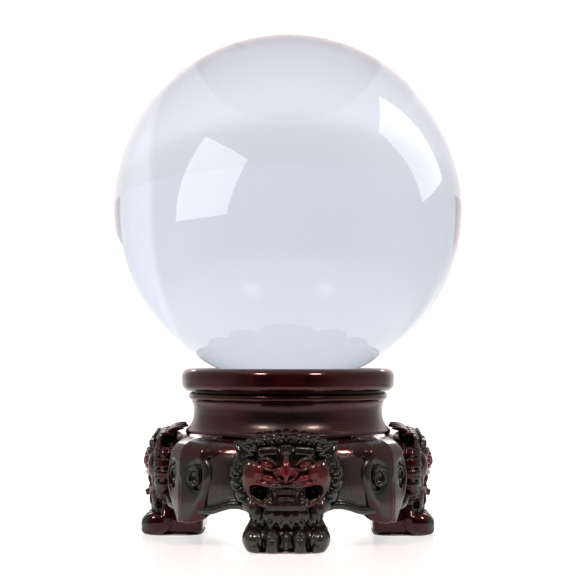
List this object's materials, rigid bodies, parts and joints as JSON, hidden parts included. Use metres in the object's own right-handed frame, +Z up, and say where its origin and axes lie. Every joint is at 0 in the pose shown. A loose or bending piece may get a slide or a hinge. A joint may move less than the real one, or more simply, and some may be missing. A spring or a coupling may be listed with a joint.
{
  "type": "crystal ball",
  "caption": "Clear solid glass fortune-teller's ball resting on a flocked seat ring in a round stand with carved lion-mask legs and scroll corners.",
  "frame": {"origin": "on the stand's upright axis, in the plane that the foot pads stand on", "axes": "+Z up along the stand's and the ball's axis; the front lion faces -Y, +X to the viewer's right"},
  "size_m": [0.15, 0.15, 0.213],
  "materials": {
    "crystal": "clear polished solid glass",
    "seat_flock": "black flocked rubber",
    "lacquered_resin": "glossy dark red-brown lacquer",
    "patinated_resin": "glossy red-brown lacquer sprayed over with blackish green",
    "pad_felt": "thin grey-brown felt"
  },
  "bodies": {
    "stand": {"rim_dish": "lacquered_resin", "bead_ring": "lacquered_resin", "waist_collar": "lacquered_resin", "apron_drum": "lacquered_resin", "lion_leg_front": "patinated_resin", "lion_leg_right": "patinated_resin", "lion_leg_back": "patinated_resin", "lion_leg_left": "patinated_resin", "scroll_bracket_back_right": "patinated_resin", "scroll_bracket_back_left": "patinated_resin", "scroll_bracket_front_left": "patinated_resin", "scroll_bracket_front_right": "patinated_resin", "foot_pad_front": "pad_felt", "foot_pad_right": "pad_felt", "foot_pad_back": "pad_felt", "foot_pad_left": "pad_felt"},
    "seat_ring": {"seat_ring": "seat_flock"},
    "ball": {"crystal_ball": "crystal"}
  },
  "joints": [
    {"name": "seat_turn", "type": "hinge", "parent": "stand", "child": "seat_ring", "pos_m": [0, 0, 0.066], "axis": [0, 0, 1], "continuous": true},
    {"name": "ball_lift", "type": "slide", "parent": "seat_ring", "child": "ball", "axis": [0, 0, 1], "range_m": [0, 0.1]}
  ]
}
